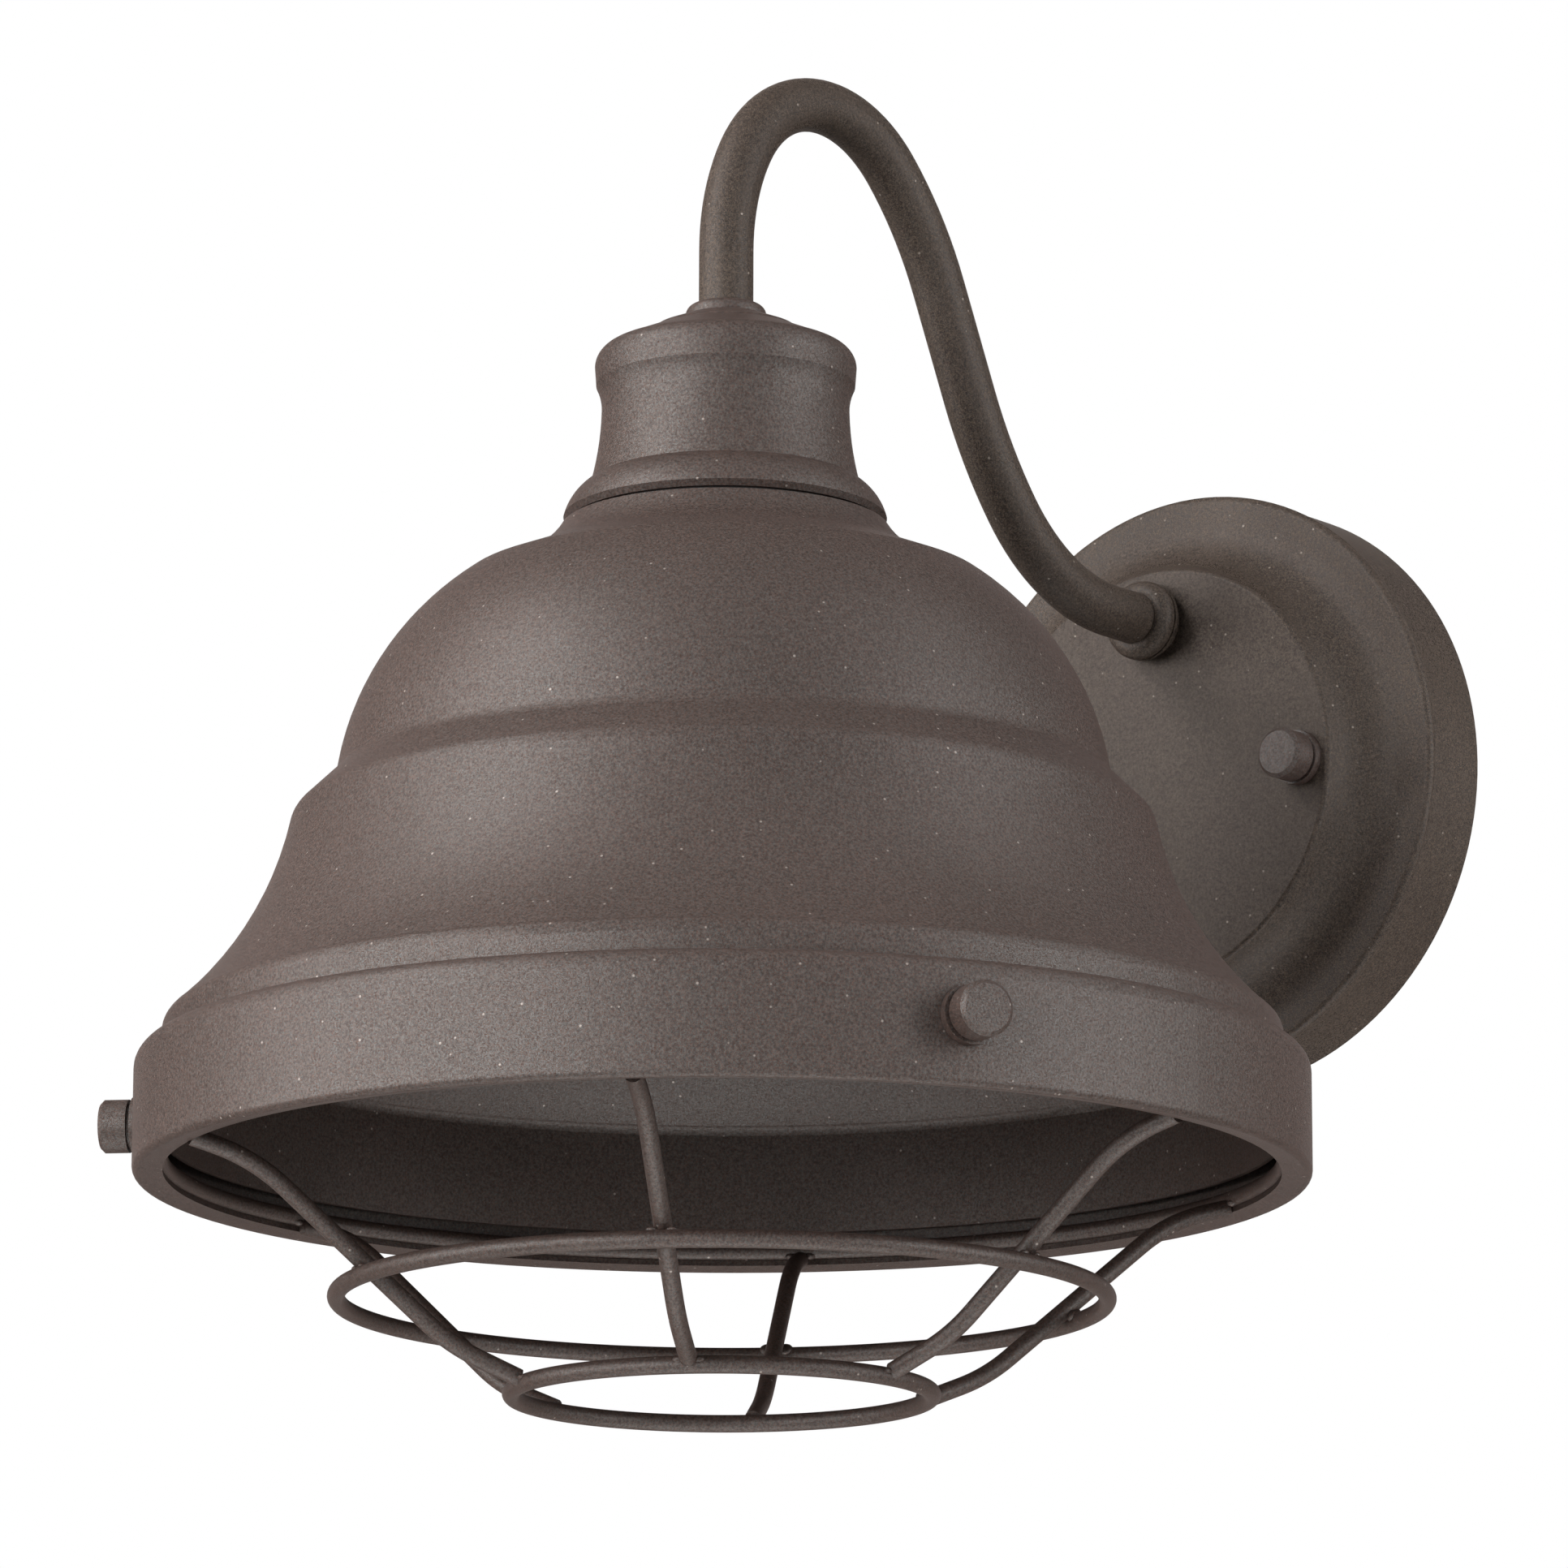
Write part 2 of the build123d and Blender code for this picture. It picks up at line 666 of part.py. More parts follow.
def bulb_line(thinner):
    """Line of the bulb's glass from its neck to its crown, drawn this much inside the outer face."""
    neck_radius = bulb_neck_radius - thinner
    globe_radius = bulb_radius - thinner
    middle = bulb_low + bulb_radius
    lean = radians(bulb_shoulder)
    neck = Line((neck_radius, bulb_cap_low + bulb_neck_length), (neck_radius, bulb_cap_low))
    join = (globe_radius * cos(lean), middle + globe_radius * sin(lean))
    side = (globe_radius * cos(lean), middle - globe_radius * sin(lean))
    waist = Spline(neck @ 1, join, tangents=[(0, -1), (sin(lean), -cos(lean))])
    globe = ThreePointArc(join, side, (0, middle - globe_radius))
    return [neck, waist, globe]


def bulb_glass():
    outer = bulb_line(0)
    inner = bulb_line(bulb_glass_wall)
    low = Line(outer[2] @ 1, inner[2] @ 1)
    top = Line(inner[0] @ 0, outer[0] @ 0)
    return on_head(turned(joined(outer + [low] + inner[::-1] + [top])))


def bulb_cap():
    inner = bulb_cap_radius - bulb_cap_wall
    roof = bulb_cap_top - bulb_cap_wall
    outline = [(bulb_cap_radius, bulb_cap_low), (bulb_cap_radius, bulb_cap_top - bulb_cap_wall)]
    outline += [(bulb_cap_radius - bulb_cap_wall, bulb_cap_top), (bulb_tip_radius, bulb_cap_top)]
    outline += [(bulb_tip_radius, roof), (inner, roof), (inner, bulb_cap_low)]
    return on_head(turned(Polyline(*outline, close=True)))


def bulb_insulator():
    top = bulb_cap_top + bulb_insulator_height
    outline = [(0, bulb_cap_top), (bulb_insulator_radius, bulb_cap_top)]
    outline += [(bulb_tip_radius, top), (0, top)]
    return on_head(turned(Polyline(*outline, close=True)))


def bulb_tip():
    low = bulb_cap_top + bulb_insulator_height
    button = Pos(0, 0, (low + bulb_top) / 2) * Cylinder(bulb_tip_radius, bulb_top - low)
    return on_head(fillet(button.edges().group_by(Axis.Z)[-1], bulb_tip_height / 2))


def bulb_stem():
    mouth = bulb_neck_radius - bulb_glass_wall - fixed_gap
    high = bulb_cap_low + bulb_neck_length
    outline = [(0, high), (mouth, high), (mouth, high - stem_flare)]
    outline += [(stem_radius, high - 4 * stem_flare)]
    outline += [(stem_radius, high - stem_length), (0, high - stem_length)]
    return on_head(turned(Polyline(*outline, close=True)))


def bulb_filament():
    foot = bulb_cap_low + bulb_neck_length - stem_length - filament_wire
    low = foot - filament_drop
    left = [(-filament_feet, foot), (-filament_half_span, low)]
    right = [(filament_half_span, low), (filament_feet, foot)]
    line = FilletPolyline(*left, *right, radius=filament_feet)
    return on_head(along(joined([Plane.XZ.location * line]), filament_wire))


# Rim band, wire guard and thumb screws


def rim_band():
    lip = Line((lip_radius, lip_rise), (band_radius - band_low_round, 0))
    low = TangentArc(lip @ 1, (band_radius, band_low_round), tangent=(1, 0))
    side = Line(low @ 1, (band_radius, band_height - band_top_round))
    high = TangentArc(side @ 1, (band_radius - band_top_round, band_height), tangent=(0, 1))
    top = Line(high @ 1, (skirt_radius + pass_gap, band_height))
    band = on_head(sheet_turned([lip, low, side, high, top], band_sheet))
    hole = Pos(0, 0, band_radius) * Cylinder(thumb_shank_radius + hole_gap, 6 * band_sheet)
    for k in range(thumb_count):
        band = band - outward(thumb_angle(k), thumb_height, hole)
    return band


def band_nuts():
    corner = band_nut_flats / sqrt(3)
    high = sqrt(band_inside**2 - corner**2)
    nut = hex_ring(band_nut_flats, thumb_shank_radius + thread_gap, high - band_nut_height, high)
    return [outward(thumb_angle(k), thumb_height, nut) for k in range(thumb_count)]


def thumb_screw(k):
    neck_low = band_radius + knob_washer_thick
    shank = Pos(0, 0, (thumb_tip + neck_low) / 2) * Cylinder(thumb_shank_radius, neck_low - thumb_tip)
    shank = chamfer(shank.edges().group_by(Axis.Z)[0], thumb_shank_radius / 4)
    knob = knob_blank(band_radius, thumb_neck_length)
    return outward(thumb_angle(k), thumb_height, knob + shank)


def thumb_washer(k):
    return outward(thumb_angle(k), thumb_height, knob_washer(band_radius))


def guard_ring(radius, height):
    return on_head(Pos(0, 0, height) * Torus(radius, wire_radius))


def rib_points():
    """Corners of a rib's line, as (radius, height): top end, knee, ankle and low end."""
    top = (lip_radius - rib_lip_gap, top_ring_height - rib_top_drop)
    knee = (top[0] - rib_knee_run, top[1] - rib_knee_run * tan(radians(rib_top_slope)))
    sunk = (wire_radius - weld_sink) / sqrt(2)
    end = (bottom_ring_radius + sunk, sunk - guard_depth)
    steep = tan(radians(rib_middle_slope))
    gentle = tan(radians(rib_low_slope))
    ankle_radius = (end[1] - gentle * end[0] - knee[1] + steep * knee[0]) / (steep - gentle)
    ankle = (ankle_radius, end[1] + gentle * (ankle_radius - end[0]))
    return [top, knee, ankle, end]


def middle_ring():
    """Ring under the ribs' steep runs, welded to their outer side."""
    knee = rib_points()[1]
    slope = radians(rib_middle_slope)
    line_height = knee[1] - (knee[0] - middle_ring_radius) * tan(slope)
    return guard_ring(middle_ring_radius, line_height - weld_reach / cos(slope))


def rib(k):
    line = FilletPolyline(*rib_points(), radius=rib_bend)
    bar = along(joined([Plane.XZ.location * line]), wire_radius)
    return on_head(Rot(0, 0, rib_angle(k) - 90) * bar)


def group(solids):
    """Several separate solids that are kept as one piece of the list."""
    return Compound(children=solids)


half_studs = stud_spacing / 2
pieces = {
    "backplate": backplate(),
    "backplate_gasket": backplate_gasket(),
    "mounting_strap": mounting_strap(),
    "mounting_studs": group(mounting_studs()),
    "stud_lock_nuts": group(stud_lock_nuts()),
    "ground_screw": ground_screw(),
    "cap_nut_left": cap_nut(-half_studs),
    "cap_nut_right": cap_nut(half_studs),
    "cap_nut_washer_left": cap_nut_washer(-half_studs),
    "cap_nut_washer_right": cap_nut_washer(half_studs),
    "arm_tube": arm_tube(),
    "arm_wall_washer": arm_wall_washer(),
    "arm_wall_collar": arm_wall_collar(),
    "arm_wall_nipple": arm_wall_nipple(),
    "arm_wall_lock_washer": arm_wall_lock_washer(),
    "arm_wall_nut": arm_wall_nut(),
    "arm_end_collar": arm_end_collar(),
    "arm_end_nipple": arm_end_nipple(),
    "arm_end_lock_washer": arm_end_lock_washer(),
    "arm_end_nut": arm_end_nut(),
    "neck_housing": neck_housing(),
    "shade_gasket": shade_gasket(),
    "shade_screws": group(shade_screws()),
    "shade": shade(),
    "socket_body": socket_body(),
    "screw_shell": screw_shell(),
    "socket_floor": socket_floor(),
    "centre_contact": centre_contact(),
    "socket_terminals": group(socket_terminals()),
    "neutral_lead": lead(-1),
    "line_lead": lead(1),
    "ground_lead": ground_lead(),
    "wire_connectors": group(wire_connectors()),
    "bulb_glass": bulb_glass(),
    "bulb_cap": bulb_cap(),
    "bulb_insulator": bulb_insulator(),
    "bulb_tip": bulb_tip(),
    "bulb_stem": bulb_stem(),
    "bulb_filament": bulb_filament(),
    "rim_band": rim_band(),
    "band_nuts": group(band_nuts()),
    "cage_top_ring": guard_ring(top_ring_radius, top_ring_height),
    "cage_middle_ring": middle_ring(),
    "cage_bottom_ring": guard_ring(bottom_ring_radius, -guard_depth),
}
for k in range(rib_count):
    pieces[f"cage_rib_{k + 1}"] = rib(k)
for k in range(thumb_count):
    pieces[f"thumb_screw_{k + 1}"] = thumb_screw(k)
    pieces[f"thumb_washer_{k + 1}"] = thumb_washer(k)

os.makedirs("parts", exist_ok=True)
for name, piece in pieces.items():
    export_step(piece, f"parts/{name}.step")
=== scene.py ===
import json
import math

import bmesh
import bpy
from mathutils import Matrix, Vector


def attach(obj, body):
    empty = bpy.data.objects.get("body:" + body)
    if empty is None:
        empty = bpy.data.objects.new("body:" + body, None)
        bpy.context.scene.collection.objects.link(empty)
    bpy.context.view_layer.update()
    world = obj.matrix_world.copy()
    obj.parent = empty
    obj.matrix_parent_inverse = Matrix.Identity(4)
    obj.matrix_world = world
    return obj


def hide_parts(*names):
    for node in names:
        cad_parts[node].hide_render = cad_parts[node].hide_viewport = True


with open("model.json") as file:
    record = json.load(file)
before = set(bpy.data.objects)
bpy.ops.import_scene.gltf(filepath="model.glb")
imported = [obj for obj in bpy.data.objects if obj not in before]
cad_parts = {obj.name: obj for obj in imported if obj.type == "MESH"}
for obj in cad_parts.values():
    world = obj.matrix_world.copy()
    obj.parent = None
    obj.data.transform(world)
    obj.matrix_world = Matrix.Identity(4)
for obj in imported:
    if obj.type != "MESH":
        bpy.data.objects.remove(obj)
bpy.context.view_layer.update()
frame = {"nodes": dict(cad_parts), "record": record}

# Gooseneck wall lamp: powder-coated bell shade, rim band with wire guard, round backplate.
# Metres. The wall is the plane y = 0, the lamp stands out towards -Y, and +Z is up.

MM = 0.001

# Places on the lamp, in millimetres, as in the part's source
HEAD_REACH = 180.8
RIM_DROP = 111.191
RIB_COUNT = 6
RIB_TURN = 1.0

# Where the ribs touch the guard's rings: radius, height over the rim,
# and the rib's fall towards the axis in degrees
RIB_JOINTS = ((114.9, 2.9, 15), (77.84, -23.24, 40), (43.5, -43.5, 22))
WELD_OFFSET = 2.0                   # each fillet beside the middle of its rib
WELD_SIZE = (1.7, 1.6, 0.9)         # half sizes along the rib, across it and out of the joint

CONNECTOR_SPREAD = 8.5              # twist-on connectors left and right of the middle
CONNECTOR_DEPTH = 8.0               # their axis in front of the wall
CONNECTOR_TOP = 13.0
CONNECTOR_LENGTH = 22.0
CONNECTOR_MOUTH = 5.2
CONNECTOR_TIP = 3.4
CONNECTOR_HOLE = 1.15
CONNECTOR_GRIP = 9.0
CONNECTOR_FLUTES = 12
FLUTE_MARGIN = 0.2
FLUTE_DEPTH = 0.35

# The powder coat's patterns, in millimetres
DRIFT_SIZE = 38.0                   # clouds where it is thinner
PEEL_SIZE = 2.6                     # slow ripple of the baked skin
PEEL_DEPTH = 0.12
FLAKE_SIZE = 0.12                   # grains of paint and metal
FLECK_SPACING = 3.4
GRIT_DEPTH = 0.16                   # share of the grit's size
GRAIN_TONE = (0.66, 1.34)           # how dark and how light the grit makes the coat
GLOSS_SHIFT = (-0.06, 0.08)         # of the roughness, over the grit
FLECK_STRENGTH = 0.5
FLAKE_EDGE = (0.30, 0.22, 0.19, 1.0)    # what flake mirrors at a glancing angle
PAINT_SHINE = 0.05

METAL_SHIFT = (-0.08, 0.10)         # of a bare metal's roughness, over its crystals
METAL_DULL = 0.72                   # its darker crystals

# The studio, in metres
FILL = 0.08
FLOOR_GLOW = 0.9
FLOOR_HEIGHT = -3.2
FLOOR_HALF_SIZE = 40
LAMP_MIDDLE = Vector((0, -0.17, -0.04))

# The camera, in degrees, metres and millimetres of lens
CAMERA_AZIMUTH = 39.181
CAMERA_PITCH = 12.494
CAMERA_ROLL = -0.144
CAMERA_PLACE = (1.02335, -1.41671, -0.38298)
CAMERA_LENS = 181.73
CAMERA_SENSOR = 36

# Soft boxes: degrees from the camera's side, elevation, distance, width, height, watts
SOFT_BOXES = {
    "left_box": (-85, 5, 1.6, 0.4, 1.0, 13.3),
    "left_high_box": (-80, 45, 1.6, 0.6, 0.6, 10.1),
    "left_front_box": (-60, 8, 1.6, 0.4, 1.0, 11.2),
    "left_front_high_box": (-60, 40, 1.6, 0.5, 0.5, 7.3),
    "front_box": (-35, 5, 1.8, 0.4, 1.0, 17.3),
    "right_box": (85, 5, 1.6, 0.4, 1.0, 7.6),
    "right_high_box": (80, 45, 1.6, 0.6, 0.6, 4.4),
    "right_front_box": (60, 8, 1.6, 0.4, 1.0, 10.1),
    "low_front_box": (0, -27, 1.5, 0.9, 0.4, 2.3),
    "under_box": (0, -88, 0.75, 0.8, 0.8, 4.6),
}

# Sockets of a Mix node that mixes colours
FACTOR, FIRST, SECOND, MIXED = 0, 6, 7, 2


def head(radius, angle, height):
    """Point of the head in metres: degrees from the front towards +X, height above the rim."""
    turn = math.radians(angle)
    x = radius * math.sin(turn)
    y = -HEAD_REACH - radius * math.cos(turn)
    return Vector((x, y, height - RIM_DROP)) * MM


def linear(colour):
    """Linear colour of an sRGB hex value."""
    parts = [int(colour[k:k + 2], 16) / 255 for k in (1, 3, 5)]
    return [p / 12.92 if p <= 0.04045 else ((p + 0.055) / 1.055) ** 2.4 for p in parts] + [1.0]


def per_mm(size):
    """Texture scale that gives a pattern of this size in millimetres."""
    return 1 / (size * MM)


def add(tree, kind, inputs, **settings):
    """One shader node with its settings, and its inputs linked or set."""
    node = tree.nodes.new("ShaderNode" + kind)
    for name, value in settings.items():
        setattr(node, name, value)
    for name, value in inputs.items():
        if isinstance(value, bpy.types.NodeSocket):
            tree.links.new(value, node.inputs[name])
        else:
            node.inputs[name].default_value = value
    return node


def start(name):
    """New material with its tree, its shader and the object coordinates."""
    material = bpy.data.materials.new(name)
    material.use_nodes = True
    tree = material.node_tree
    place = add(tree, "TexCoord", {}).outputs["Object"]
    return material, tree, tree.nodes["Principled BSDF"], place


def powder_coat(name, body, deep, flake, fleck, roughness, grit):
    """Polyester powder coat with fine metal flake, sprayed dry and baked: a satin, sandy skin.

    Brown paint and grey metal flake share the surface in fine grains: the paint shows in the
    shade, and the flake gives broad grey highlights without a bright outline. The grit catches
    the light in points, a few pale flecks lie in it, and its colour drifts where it is thinner.
    """
    material, tree, shader, place = start(name)
    drift = add(tree, "TexNoise", {
        "Vector": place, "Scale": per_mm(DRIFT_SIZE), "Detail": 3, "Roughness": 0.55})
    sand = add(tree, "TexNoise", {
        "Vector": place, "Scale": per_mm(grit), "Detail": 2.5, "Roughness": 0.6})
    peel = add(tree, "TexNoise", {
        "Vector": place, "Scale": per_mm(PEEL_SIZE), "Detail": 2, "Roughness": 0.5})
    powder = add(tree, "TexNoise", {"Vector": place, "Scale": per_mm(FLAKE_SIZE), "Detail": 0})
    speck = add(tree, "TexVoronoi", {"Vector": place, "Scale": per_mm(FLECK_SPACING)})

    tone = add(tree, "MapRange", {
        "Value": drift.outputs["Fac"], "From Min": 0.35, "From Max": 0.65})
    paint = add(tree, "Mix", {
        FACTOR: tone.outputs["Result"], FIRST: linear(deep), SECOND: linear(body)},
        data_type="RGBA")
    metal = add(tree, "MapRange", {
        "Value": powder.outputs["Fac"], "From Min": 0.44, "From Max": 0.56})
    tree.links.new(metal.outputs["Result"], shader.inputs["Metallic"])
    coat = add(tree, "Mix", {
        FACTOR: metal.outputs["Result"], FIRST: paint.outputs[MIXED], SECOND: linear(flake)},
        data_type="RGBA")
    grain = add(tree, "MapRange", {
        "Value": sand.outputs["Fac"], "From Min": 0.32, "From Max": 0.68,
        "To Min": GRAIN_TONE[0], "To Max": GRAIN_TONE[1]})
    skin = add(tree, "Mix", {
        FACTOR: 1.0, FIRST: coat.outputs[MIXED], SECOND: grain.outputs["Result"]},
        data_type="RGBA", blend_type="MULTIPLY")

    rare = add(tree, "SeparateColor", {"Color": speck.outputs["Color"]})
    chosen = add(tree, "MapRange", {
        "Value": rare.outputs["Red"], "From Min": 0.50, "From Max": 0.54})
    dot = add(tree, "MapRange", {
        "Value": speck.outputs["Distance"], "From Min": 0.05, "From Max": 0.10,
        "To Min": FLECK_STRENGTH, "To Max": 0.0})
    flecks = add(tree, "Math", {0: chosen.outputs["Result"], 1: dot.outputs["Result"]},
                 operation="MULTIPLY")
    colour = add(tree, "Mix", {
        FACTOR: flecks.outputs[0], FIRST: skin.outputs[MIXED], SECOND: linear(fleck)},
        data_type="RGBA")
    tree.links.new(colour.outputs[MIXED], shader.inputs["Base Color"])

    gloss = add(tree, "MapRange", {
        "Value": sand.outputs["Fac"], "From Min": 0.3, "From Max": 0.7,
        "To Min": roughness + GLOSS_SHIFT[0], "To Max": roughness + GLOSS_SHIFT[1]})
    tree.links.new(gloss.outputs["Result"], shader.inputs["Roughness"])
    wave = add(tree, "Bump", {
        "Height": peel.outputs["Fac"], "Strength": 0.18, "Distance": PEEL_DEPTH * MM})
    bump = add(tree, "Bump", {
        "Height": sand.outputs["Fac"], "Strength": 0.5, "Distance": GRIT_DEPTH * grit * MM,
        "Normal": wave.outputs["Normal"]})
    tree.links.new(bump.outputs["Normal"], shader.inputs["Normal"])
    shader.inputs["Specular Tint"].default_value = FLAKE_EDGE
    shader.inputs["Specular IOR Level"].default_value = PAINT_SHINE
    return material


def bare_metal(name, colour, roughness, crystal):
    """Plated or bare metal: its own colour in soft cloudy crystals, some duller than others."""
    material, tree, shader, place = start(name)
    cloud = add(tree, "TexNoise", {
        "Vector": place, "Scale": per_mm(crystal), "Detail": 4, "Roughness": 0.6})
    gloss = add(tree, "MapRange", {
        "Value": cloud.outputs["Fac"], "From Min": 0.3, "From Max": 0.7,
        "To Min": roughness + METAL_SHIFT[0], "To Max": roughness + METAL_SHIFT[1]})
    tree.links.new(gloss.outputs["Result"], shader.inputs["Roughness"])
    dull = [c * METAL_DULL for c in linear(colour)[:3]] + [1.0]
    tone = add(tree, "Mix", {FACTOR: cloud.outputs["Fac"], FIRST: dull, SECOND: linear(colour)},
               data_type="RGBA")
    tree.links.new(tone.outputs[MIXED], shader.inputs["Base Color"])
    shader.inputs["Metallic"].default_value = 1.0
    return material


def smooth_skin(name, colour, spot, roughness, wave_size, wave_depth):
    """Moulded or glazed skin: one colour with a faint cloud in it and a slow ripple."""
    material, tree, shader, place = start(name)
    cloud = add(tree, "TexNoise", {"Vector": place, "Scale": per_mm(wave_size), "Detail": 3})
    tone = add(tree, "Mix", {
        FACTOR: cloud.outputs["Fac"], FIRST: linear(spot), SECOND: linear(colour)},
        data_type="RGBA")
    tree.links.new(tone.outputs[MIXED], shader.inputs["Base Color"])
    bump = add(tree, "Bump", {
        "Height": cloud.outputs["Fac"], "Strength": 0.3, "Distance": wave_depth * MM})
    tree.links.new(bump.outputs["Normal"], shader.inputs["Normal"])
    shader.inputs["Roughness"].default_value = roughness
    return material


def frosted_glass(name):
    """Acid-etched bulb glass: white, cloudy and soft, with a fine etched tooth."""
    material, tree, shader, place = start(name)
    etch = add(tree, "TexNoise", {"Vector": place, "Scale": per_mm(0.6), "Detail": 2})
    tone = add(tree, "Mix", {
        FACTOR: etch.outputs["Fac"], FIRST: linear("#D9D8D2"), SECOND: linear("#EDECE7")},
        data_type="RGBA")
    tree.links.new(tone.outputs[MIXED], shader.inputs["Base Color"])
    bump = add(tree, "Bump", {
        "Height": etch.outputs["Fac"], "Strength": 0.15, "Distance": 0.05 * MM})
    tree.links.new(bump.outputs["Normal"], shader.inputs["Normal"])
    shader.inputs["Roughness"].default_value = 0.42
    shader.inputs["Transmission Weight"].default_value = 0.35
    return material


def clear_glass(name):
    """Clear lead glass of the bulb's stem, a little green in its depth."""
    material, tree, shader, place = start(name)
    streak = add(tree, "TexNoise", {"Vector": place, "Scale": per_mm(7), "Detail": 1})
    tone = add(tree, "Mix", {
        FACTOR: streak.outputs["Fac"], FIRST: linear("#E6EEEA"), SECOND: linear("#F4F7F5")},
        data_type="RGBA")
    tree.links.new(tone.outputs[MIXED], shader.inputs["Base Color"])
    shader.inputs["Roughness"].default_value = 0.05
    shader.inputs["Transmission Weight"].default_value = 0.9
    return material


# Sandy bronze of the shade, the neck and the guard
bronze_coat = powder_coat(
    "bronze_powder_coat", "#54413A", "#4E3C35", "#525251", "#B3A9A1", 0.51, 0.56)
# Duller and more olive, on the backplate and the arm
plate_coat = powder_coat(
    "olive_bronze_powder_coat", "#605349", "#5A4D44", "#343434", "#A69C92", 0.51, 0.56)
# Smoother and finer, on the knobs and cap nuts
knob_coat = powder_coat(
    "bronze_paint_on_brass", "#54413A", "#4E3C35", "#525251", "#B3A9A1", 0.48, 0.46)
# Cool grey nuts, studs and strap
zinc = bare_metal("zinc_plated_steel", "#B9BBBD", 0.36, 3.0)
# Warm yellow shell and contacts of the socket
brass = bare_metal("rolled_brass", "#C9A25A", 0.30, 5.0)
# Reddish bare earth lead
copper = bare_metal("bare_copper", "#C07A52", 0.32, 5.0)
# Pale screw cap of the bulb
cap_metal = bare_metal("spun_aluminium_cap", "#C6C7C8", 0.30, 4.0)
# Dark thin filament
tungsten = bare_metal("tungsten_wire", "#77777A", 0.45, 1.0)
# Green earth screw
green_zinc = bare_metal("green_dyed_zinc", "#2F7A46", 0.38, 3.0)
# Wet white gloss of the socket
porcelain = smooth_skin("glazed_porcelain", "#E7E4DC", "#DAD6CC", 0.16, 9.0, 0.06)
# Dull black of the seals
foam_rubber = smooth_skin("foam_rubber", "#1C1B1B", "#131313", 0.85, 0.9, 0.25)
# Soft sheen of the two supply leads
black_pvc = smooth_skin("black_pvc_insulation", "#161616", "#101010", 0.45, 2.0, 0.05)
white_pvc = smooth_skin("white_pvc_insulation", "#E4E2DC", "#D8D5CD", 0.45, 2.0, 0.05)
# Bright moulded connectors
orange_shell = smooth_skin("orange_moulded_plastic", "#D8641E", "#C95A1A", 0.42, 1.4, 0.06)
# Shiny black ring round the bulb's contact
black_glass = smooth_skin("black_glass_insulator", "#0E0E10", "#151518", 0.12, 4.0, 0.03)
etched = frosted_glass("etched_bulb_glass")
stem = clear_glass("clear_stem_glass")

finish_of_slot = {
    "dark_bronze": bronze_coat,
    "dark_hardware": knob_coat,
    "zinc_steel": zinc,
    "green_screw": green_zinc,
    "gasket_rubber": foam_rubber,
    "porcelain": porcelain,
    "socket_brass": brass,
    "black_lead": black_pvc,
    "white_lead": white_pvc,
    "copper_lead": copper,
    "connector_plastic": orange_shell,
    "bulb_glass": etched,
    "stem_glass": stem,
    "bulb_metal": cap_metal,
    "bulb_black": black_glass,
    "filament": tungsten,
}
wall_parts = ["backplate", "arm_tube", "arm_wall_collar", "arm_wall_washer"]
finish_of_node = dict.fromkeys(wall_parts, plate_coat)
for part in frame["record"]["subparts"]:
    node = frame["nodes"][part["node"]]
    finish = finish_of_node.get(part["node"], finish_of_slot[part["material_slot"]])
    node.data.materials.clear()
    node.data.materials.append(finish)


def piece(name, mesh, material, body):
    """Shown piece from a finished bmesh, riding on a body."""
    bmesh.ops.recalc_face_normals(mesh, faces=mesh.faces[:])
    data = bpy.data.meshes.new(name)
    mesh.to_mesh(data)
    mesh.free()
    for face in data.polygons:
        face.use_smooth = True
    data.materials.append(material)
    made = bpy.data.objects.new(name, data)
    bpy.context.scene.collection.objects.link(made)
    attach(made, body)
    return made


# Weld fillets on both sides of every rib, where it crosses the guard's rings

up = Vector((0, 0, 1))
welds = bmesh.new()
for k in range(RIB_COUNT):
    angle = RIB_TURN + 360 / RIB_COUNT * (k + 0.5)
    inward = (head(0, angle, 0) - head(1, angle, 0)).normalized()
    across = inward.cross(up)
    for radius, height, fall in RIB_JOINTS:
        along = inward * math.cos(math.radians(fall)) - up * math.sin(math.radians(fall))
        axes = Matrix((along, across, along.cross(across))).transposed().to_4x4()
        shape = axes @ Matrix.Diagonal([size * MM for size in WELD_SIZE] + [1])
        for side in (-WELD_OFFSET, WELD_OFFSET):
            place = head(radius, angle, height) + across * side * MM
            bmesh.ops.create_icosphere(
                welds, subdivisions=3, radius=1, matrix=Matrix.Translation(place) @ shape)
piece("guard_welds", welds, bronze_coat, "guard")

# Twist-on connectors with pressed flutes, on the ends of the two supply leads

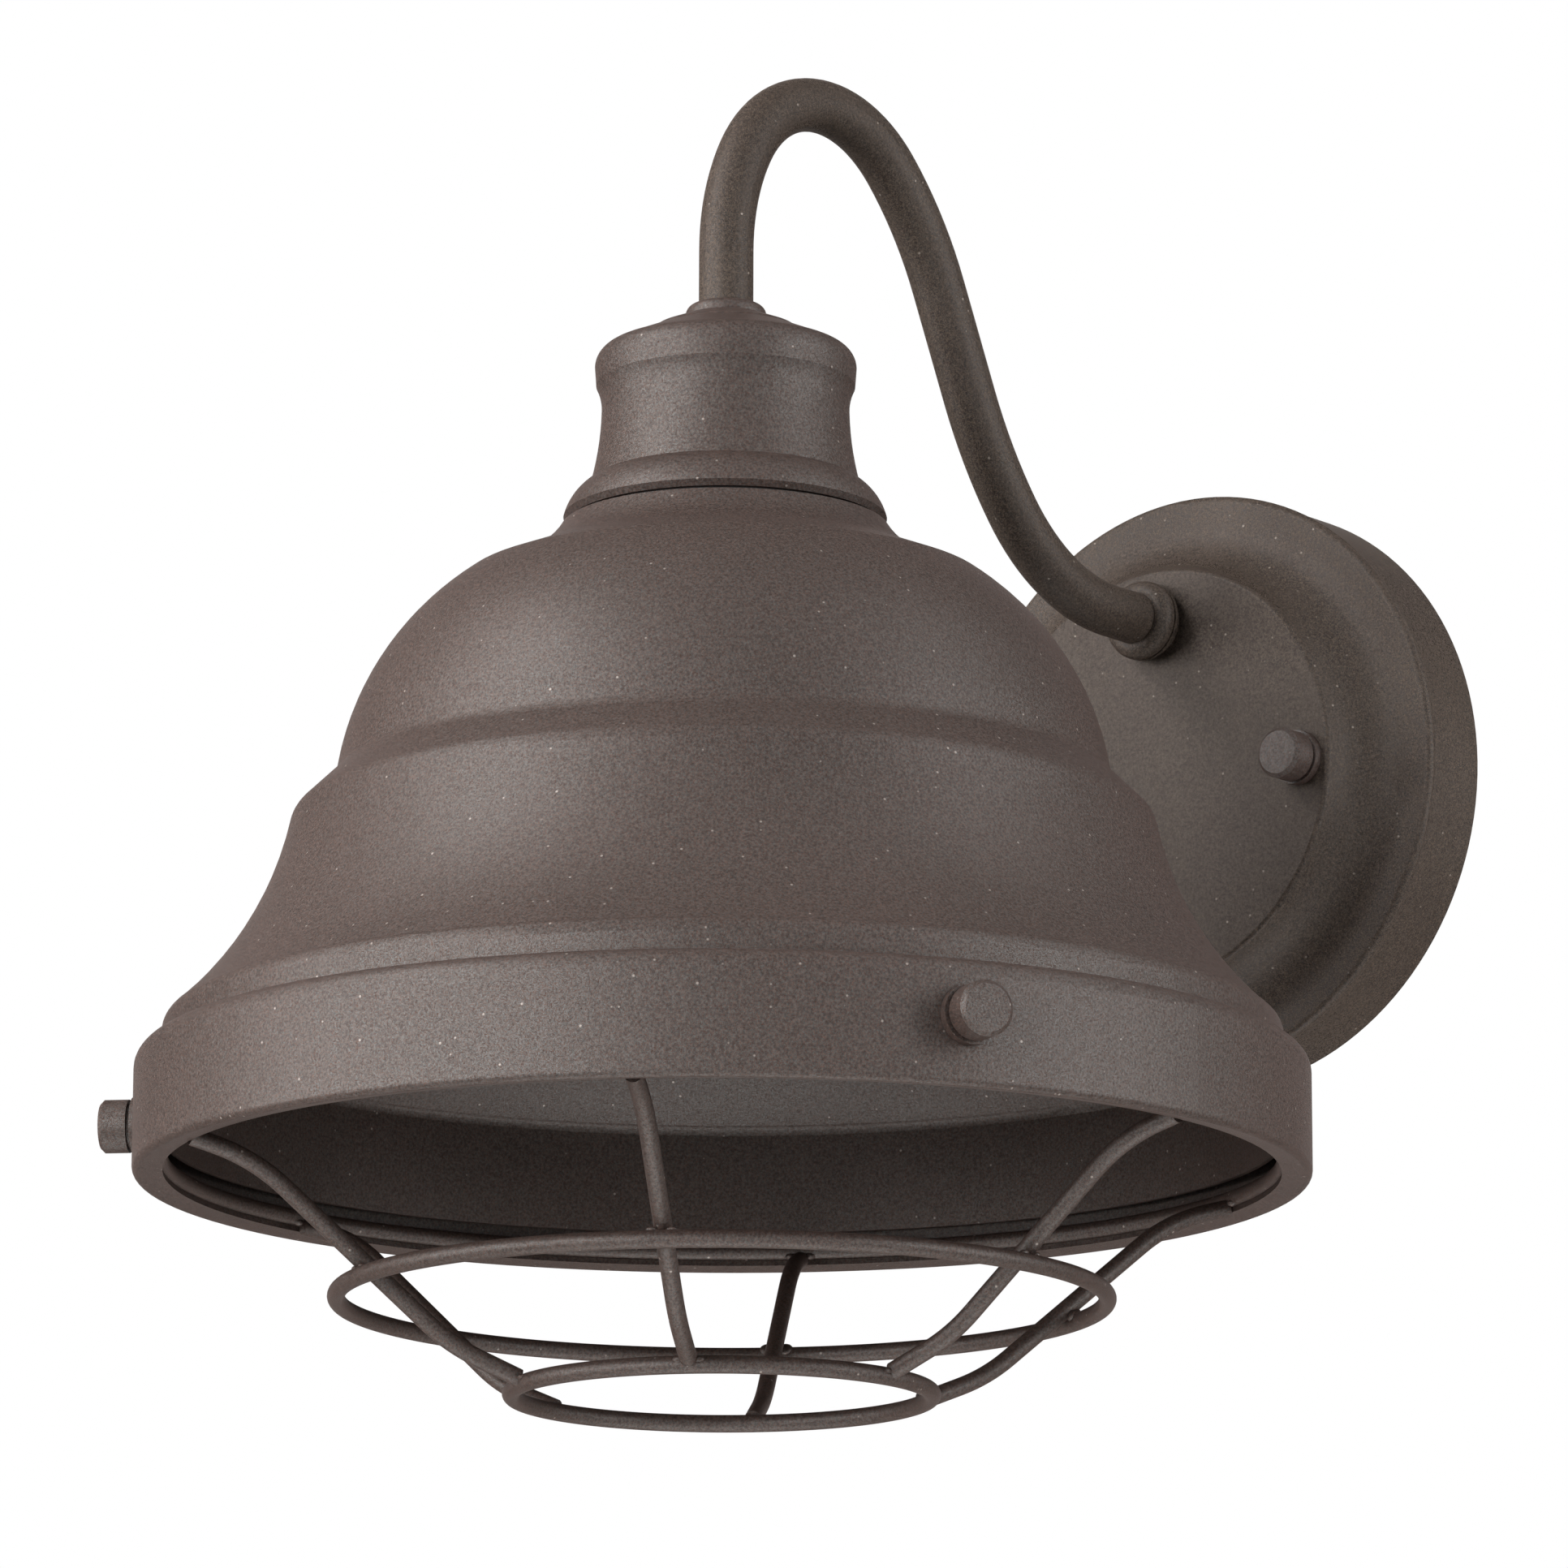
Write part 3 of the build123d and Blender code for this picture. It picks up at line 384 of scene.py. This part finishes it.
connectors = bmesh.new()
for x in (-CONNECTOR_SPREAD, CONNECTOR_SPREAD):
    middle = Vector((x, -CONNECTOR_DEPTH, CONNECTOR_TOP - CONNECTOR_LENGTH / 2)) * MM
    cone = bmesh.ops.create_cone(
        connectors, cap_ends=True, cap_tris=False, segments=2 * CONNECTOR_FLUTES,
        radius1=CONNECTOR_TIP * MM, radius2=CONNECTOR_MOUTH * MM, depth=CONNECTOR_LENGTH * MM,
        matrix=Matrix.Translation(middle))
    faces = sorted({face for vert in cone["verts"] for face in vert.link_faces},
                   key=lambda face: face.index)
    sides = [face for face in faces if len(face.verts) == 4]
    ends = [face for face in faces if len(face.verts) > 4]
    mouth = max(ends, key=lambda face: face.calc_center_median().z)
    bmesh.ops.inset_region(
        connectors, faces=[mouth], thickness=(CONNECTOR_MOUTH - CONNECTOR_HOLE) * MM)
    hole = bmesh.ops.extrude_face_region(connectors, geom=[mouth])
    bmesh.ops.delete(connectors, geom=[mouth], context="FACES_ONLY")
    bmesh.ops.translate(connectors, vec=(0, 0, -CONNECTOR_GRIP * MM),
                        verts=[g for g in hole["geom"] if isinstance(g, bmesh.types.BMVert)])
    bmesh.ops.inset_individual(
        connectors, faces=sides[::2], thickness=FLUTE_MARGIN * MM, depth=-FLUTE_DEPTH * MM)
fluted = piece("twist_on_connectors", connectors, orange_shell, "lamp")
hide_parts("wire_connectors")

# Studio: white backdrop, pale floor far below, soft boxes round the camera and from below


def shown_rays(tree):
    """1 for the rays that show the background: to the camera, in reflections, through glass."""
    path = add(tree, "LightPath", {})
    direct = add(tree, "Math", {
        0: path.outputs["Is Camera Ray"], 1: path.outputs["Is Transmission Ray"]},
        operation="MAXIMUM")
    shown = add(tree, "Math", {0: direct.outputs[0], 1: path.outputs["Is Glossy Ray"]},
                operation="MAXIMUM")
    return shown.outputs[0]


world = bpy.data.worlds.new("white_studio")
bpy.context.scene.world = world
world.use_nodes = True
sky = world.node_tree
sky.nodes.clear()
fill = add(sky, "Background", {"Color": linear("#F4F4F2"), "Strength": FILL})
white = add(sky, "Background", {"Color": (1, 1, 1, 1), "Strength": 1.0})
backdrop = add(sky, "MixShader", {0: shown_rays(sky), 1: fill.outputs[0], 2: white.outputs[0]})
add(sky, "OutputWorld", {"Surface": backdrop.outputs[0]})

# White paper with a faint fibre, which stays white to the camera without lighting the lamp
paper, paper_tree, paper_shader, paper_place = start("white_paper_floor")
fibre = add(paper_tree, "TexNoise", {"Vector": paper_place, "Scale": per_mm(60), "Detail": 2})
tint = add(paper_tree, "Mix", {
    FACTOR: fibre.outputs["Fac"], FIRST: linear("#F1F1EF"), SECOND: linear("#F6F6F4")},
    data_type="RGBA")
glow = add(paper_tree, "Math", {0: shown_rays(paper_tree), 1: FLOOR_GLOW}, operation="MULTIPLY")
paper_tree.links.new(tint.outputs[MIXED], paper_shader.inputs["Base Color"])
paper_tree.links.new(tint.outputs[MIXED], paper_shader.inputs["Emission Color"])
paper_tree.links.new(glow.outputs[0], paper_shader.inputs["Emission Strength"])
paper_shader.inputs["Roughness"].default_value = 0.9

floor_mesh = bmesh.new()
bmesh.ops.create_grid(floor_mesh, x_segments=1, y_segments=1, size=FLOOR_HALF_SIZE)
floor_data = bpy.data.meshes.new("floor")
floor_mesh.to_mesh(floor_data)
floor_mesh.free()
floor_data.materials.append(paper)
floor = bpy.data.objects.new("floor", floor_data)
floor.location = (0, 0, FLOOR_HEIGHT)
bpy.context.scene.collection.objects.link(floor)

for name, (turn, rise, distance, width, height, watts) in SOFT_BOXES.items():
    light = bpy.data.lights.new(name, "AREA")
    light.shape = "RECTANGLE"
    light.size = width
    light.size_y = height
    light.energy = watts
    azimuth = math.radians(CAMERA_AZIMUTH + turn)
    away = Vector((math.sin(azimuth), -math.cos(azimuth), 0)) * math.cos(math.radians(rise))
    away.z = math.sin(math.radians(rise))
    box = bpy.data.objects.new(name, light)
    box.location = LAMP_MIDDLE + away * distance
    box.rotation_euler = away.to_track_quat("Z", "Y").to_euler()
    bpy.context.scene.collection.objects.link(box)

# Camera at the photograph's place, for a square frame

heading, pitch, roll = map(math.radians, (CAMERA_AZIMUTH, CAMERA_PITCH, CAMERA_ROLL))
forward = Vector((-math.sin(heading), math.cos(heading), 0)) * math.cos(pitch)
forward.z = math.sin(pitch)
level = Vector((math.cos(heading), math.sin(heading), 0))
down = forward.cross(level)
right = level * math.cos(roll) + down * math.sin(roll)
lower = down * math.cos(roll) - level * math.sin(roll)
lens = bpy.data.cameras.new("camera")
lens.sensor_fit = "HORIZONTAL"
lens.sensor_width = CAMERA_SENSOR
lens.lens = CAMERA_LENS
lens.clip_start = 0.05
lens.clip_end = 100
camera = bpy.data.objects.new("camera", lens)
bpy.context.scene.collection.objects.link(camera)
turned = Matrix((right, -lower, -forward)).transposed().to_4x4()
camera.matrix_world = Matrix.Translation(CAMERA_PLACE) @ turned
bpy.context.scene.camera = camera
bpy.context.scene.view_settings.view_transform = "Standard"
